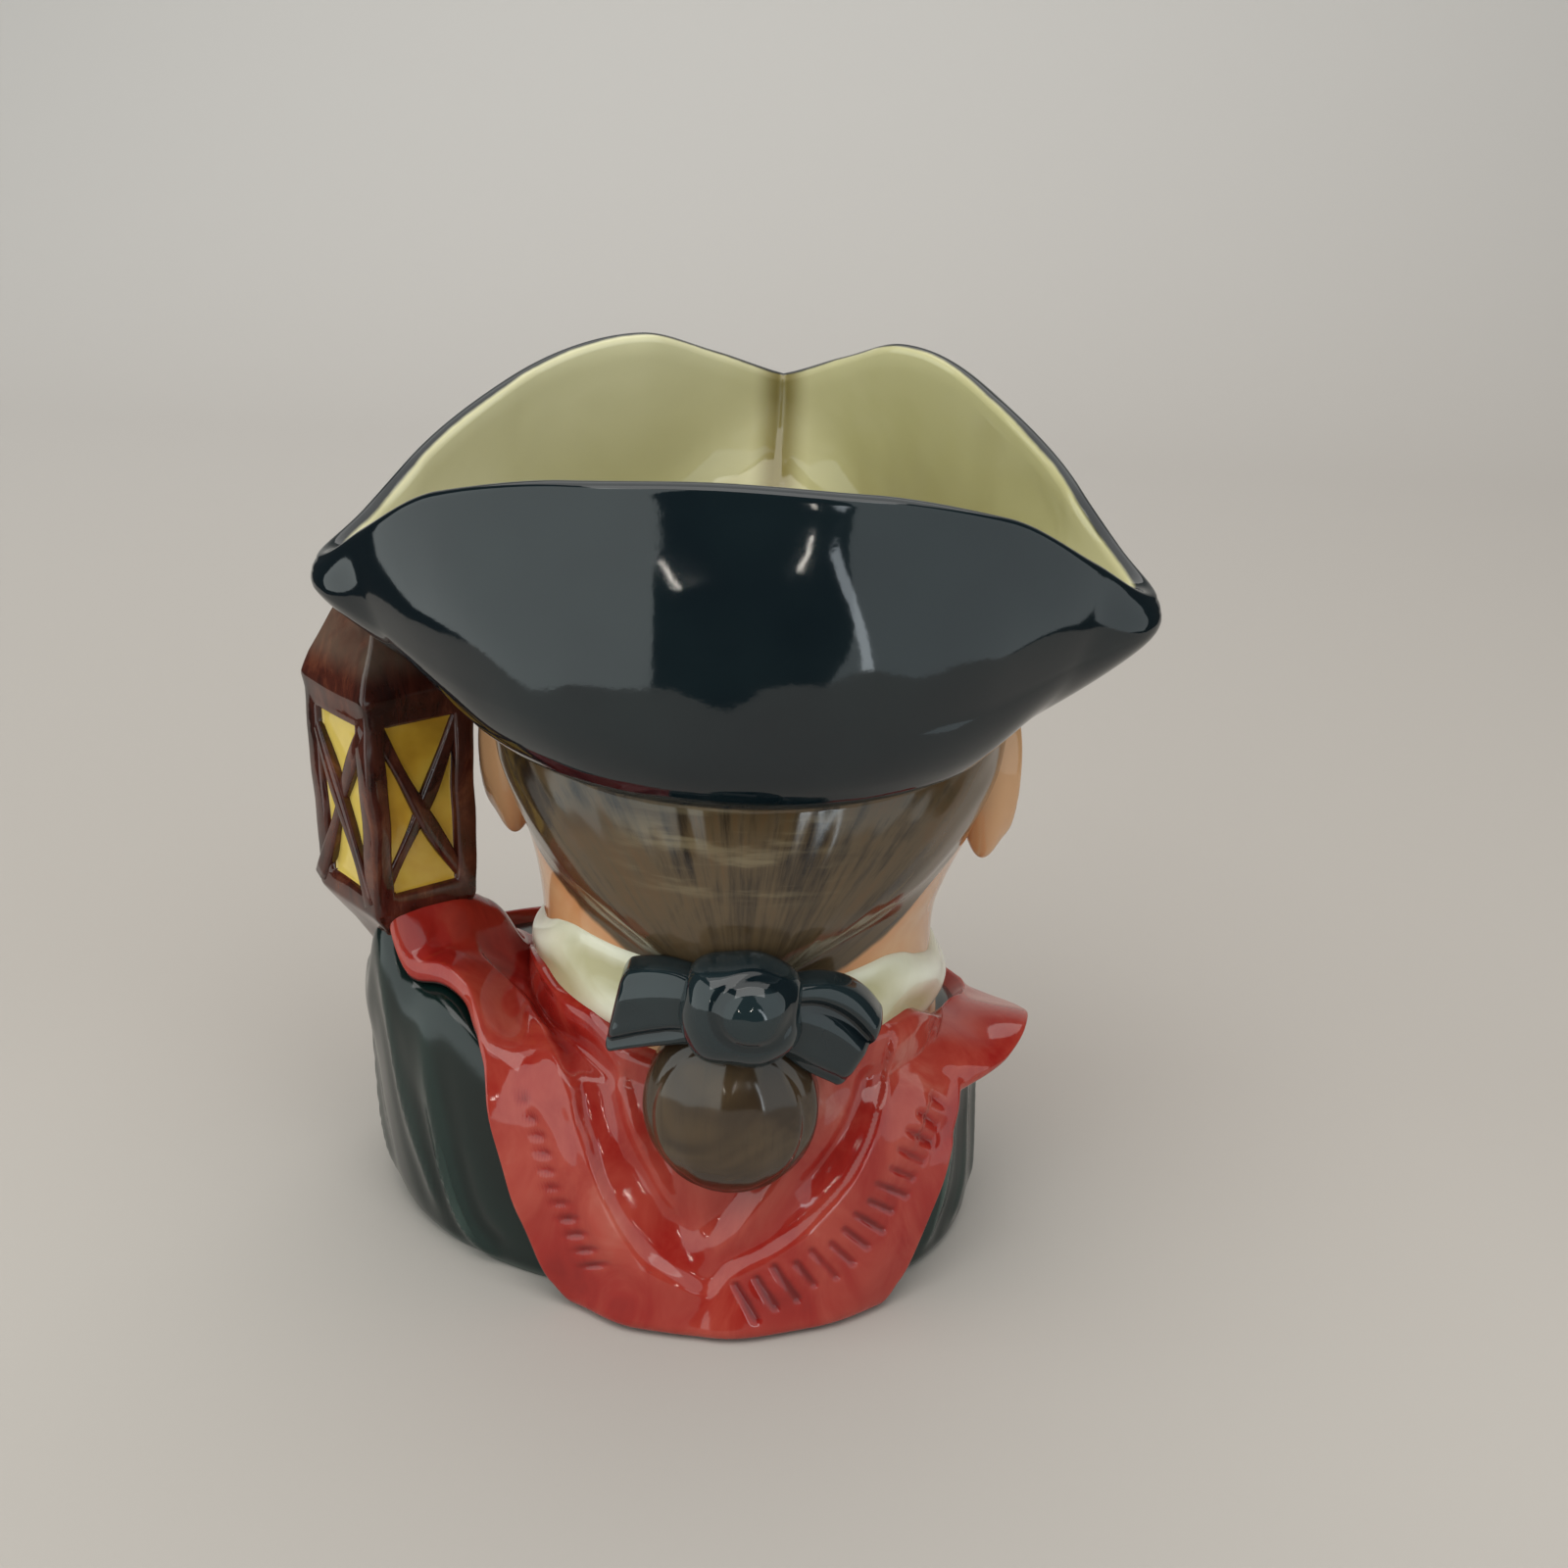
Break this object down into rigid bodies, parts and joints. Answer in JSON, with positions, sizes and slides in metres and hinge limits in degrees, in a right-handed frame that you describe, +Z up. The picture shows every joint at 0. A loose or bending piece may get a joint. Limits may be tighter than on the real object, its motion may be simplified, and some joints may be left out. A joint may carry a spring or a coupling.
{
  "type": "character jug",
  "caption": "Hollow glazed figural jug: a bust in a high-collared coat and open three-cornered hat, with a square lantern luted on as its handle.",
  "frame": {"origin": "on the flat underside, under the axis of the head and neck", "axes": "+Z up through the hat's mouth, -Y the way the face looks, +Y the bow at the nape, +X the lantern handle"},
  "size_m": [0.1685, 0.1526, 0.1778],
  "materials": {
    "glazed_body": "high gloss, painted under the glaze"
  },
  "bodies": {
    "root": {"character_jug": "glazed_body"}
  },
  "joints": []
}
